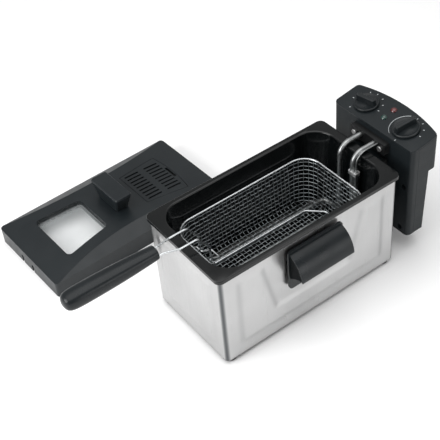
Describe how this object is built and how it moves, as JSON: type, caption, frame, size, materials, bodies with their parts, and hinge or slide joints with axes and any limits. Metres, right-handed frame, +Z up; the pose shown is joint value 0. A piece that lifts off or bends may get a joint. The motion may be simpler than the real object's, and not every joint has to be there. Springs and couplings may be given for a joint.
{
  "type": "deep fryer",
  "caption": "Household deep fryer: embossed steel casing with lift-out bowl, heating control unit and wire basket with folding handle, plus a vented lid with window.",
  "frame": {"origin": "on the table, in the plane under the feet, below the middle of the casing", "axes": "+X along the casing towards the control unit, +Y to the back, where the lid lies, +Z up"},
  "size_m": [0.5585, 0.4628, 0.211],
  "materials": {
    "casing_steel": "satin brushed",
    "black_steel": "satin",
    "rubber": "matte",
    "screw_steel": "bright",
    "black_plastic": "fine grain",
    "knob_plastic": "semi gloss",
    "enamel": "gloss enamel",
    "element_steel": "bright",
    "works": "matte",
    "red_lens": "gloss",
    "green_lens": "gloss",
    "wire": "bright",
    "glass": "clear",
    "fleece": "felt"
  },
  "bodies": {
    "casing": {"outer_casing": "casing_steel", "base_plate": "black_steel", "feet": "rubber", "foot_screws": "screw_steel", "side_handle_front": "black_plastic", "side_handle_back": "black_plastic", "handle_screws": "screw_steel", "control_guide": "black_steel", "guide_rivets": "screw_steel"},
    "bowl": {"oil_bowl": "enamel"},
    "control_unit": {"control_front_shell": "black_plastic", "control_rear_shell": "black_plastic", "control_panel": "black_plastic", "shell_screws": "screw_steel", "cord_inlet": "rubber", "element_bracket": "black_steel", "bracket_screws": "screw_steel", "heating_element": "element_steel", "sensor_probe": "element_steel", "sensor_clip": "screw_steel", "thermostat": "works", "timer": "works", "thermal_cutout": "works", "lamp_red": "red_lens", "lamp_green": "green_lens"},
    "timer_knob": {"timer_knob": "knob_plastic", "timer_shaft": "screw_steel"},
    "thermostat_knob": {"thermostat_knob": "knob_plastic", "thermostat_shaft": "screw_steel"},
    "basket": {"basket_floor": "wire", "basket_wall_front": "wire", "basket_wall_back": "wire", "basket_wall_left": "wire", "basket_wall_right": "wire", "basket_corner_front_left": "wire", "basket_corner_front_right": "wire", "basket_corner_back_left": "wire", "basket_corner_back_right": "wire", "basket_rim_wire": "wire", "basket_floor_wire": "wire", "basket_handle_bracket": "wire"},
    "basket_handle": {"handle_wires": "wire", "handle_grip": "black_plastic"},
    "lid": {"lid_shell": "black_plastic", "lid_handle": "black_plastic", "lid_handle_screws": "screw_steel", "window_frame": "black_plastic", "window_glass": "glass", "filter_tray": "black_plastic", "filter_pad": "fleece"},
    "filter_cover": {"filter_cover": "black_plastic"}
  },
  "joints": [
    {"name": "bowl_lift", "type": "slide", "parent": "casing", "child": "bowl", "axis": [0, 0, 1], "range_m": [0, 0.16]},
    {"name": "control_lift", "type": "slide", "parent": "bowl", "child": "control_unit", "axis": [0, 0, 1], "range_m": [0, 0.16]},
    {"name": "basket_lift", "type": "slide", "parent": "control_unit", "child": "basket", "axis": [0, 0, 1], "range_m": [0, 0.15]},
    {"name": "basket_handle_fold", "type": "hinge", "parent": "basket", "child": "basket_handle", "pos_m": [-0.1162, 0, 0.127], "axis": [0, 1, 0], "range_deg": [0, 170]},
    {"name": "timer_turn", "type": "hinge", "parent": "control_unit", "child": "timer_knob", "pos_m": [0.202, 0.039, 0.18839], "axis": [0.1516, 0, -0.9884], "range_deg": [0, 310]},
    {"name": "thermostat_turn", "type": "hinge", "parent": "control_unit", "child": "thermostat_knob", "pos_m": [0.202, -0.039, 0.18839], "axis": [0.1516, 0, -0.9884], "range_deg": [0, 275]},
    {"name": "lid_lift", "type": "slide", "parent": "casing", "child": "lid", "axis": [0, 0, 1], "range_m": [0, 0.2]},
    {"name": "filter_cover_swing", "type": "hinge", "parent": "lid", "child": "filter_cover", "pos_m": [-0.07003, 0.26643, 0.03689], "axis": [0.0349, -0.9994, 0], "range_deg": [0, 80]}
  ]
}
